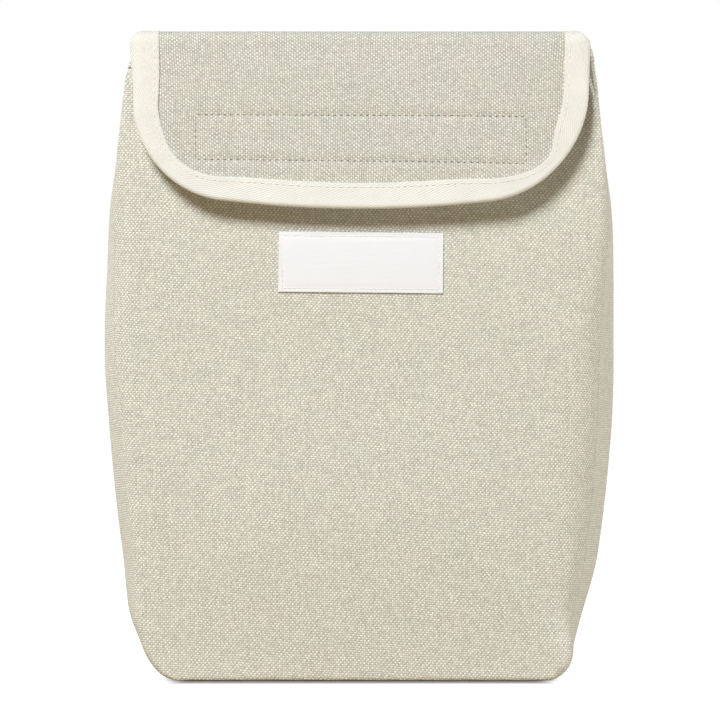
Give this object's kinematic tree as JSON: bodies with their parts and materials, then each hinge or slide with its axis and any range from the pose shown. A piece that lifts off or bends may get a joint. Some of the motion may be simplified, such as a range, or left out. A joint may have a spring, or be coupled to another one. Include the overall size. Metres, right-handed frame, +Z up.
{
  "type": "insulated lunch bag",
  "caption": "Free-standing soft lunch bag of flax canvas with foam walls, tucked side gussets and a taped flap that folds over the mouth and shuts with hook-and-loop strips.",
  "frame": {"origin": "on the floor under the middle of the bag, at the bottom centre of its box", "axes": "+Z up, the flap's leaf and the label face -Y, +X to the right as seen from the front"},
  "size_m": [0.2142, 0.1016, 0.27],
  "materials": {
    "canvas": "coarse undyed flax canvas",
    "tape": "cream cotton twill",
    "foam": "white sheet foam, hidden",
    "lining": "smooth wipe-clean coating",
    "strip": "hook-and-loop pile",
    "label": "white satin, bare"
  },
  "bodies": {
    "bag_body": {"front_panel": "canvas", "front_foam": "foam", "front_lining": "lining", "front_rim_tape": "canvas", "back_panel": "canvas", "back_foam": "foam", "back_lining": "lining", "left_panel": "canvas", "left_foam": "foam", "left_lining": "lining", "left_rim_tape": "canvas", "right_panel": "canvas", "right_foam": "foam", "right_lining": "lining", "right_rim_tape": "canvas", "base_panel": "canvas", "base_foam": "foam", "base_lining": "lining", "label": "label", "loop_strip": "strip"},
    "flap_crown": {"crown_panel": "canvas", "crown_foam": "foam", "crown_lining": "lining", "crown_tape_left": "tape", "crown_tape_right": "tape"},
    "flap_leaf": {"leaf_panel": "canvas", "leaf_foam": "foam", "leaf_lining": "lining", "leaf_tape": "tape", "hook_strip": "strip"}
  },
  "joints": [
    {"name": "flap_hinge", "type": "hinge", "parent": "bag_body", "child": "flap_crown", "pos_m": [0, 0.026, 0.269], "axis": [-1, 0, 0], "range_deg": [0, 170]},
    {"name": "flap_fold", "type": "hinge", "parent": "flap_crown", "child": "flap_leaf", "pos_m": [0, -0.03199, 0.27], "axis": [-1, 0, 0], "range_deg": [0, 136]}
  ],
  "couplings": [
    {"joint": "flap_fold", "follows": "flap_hinge", "ratio": 0.8}
  ]
}
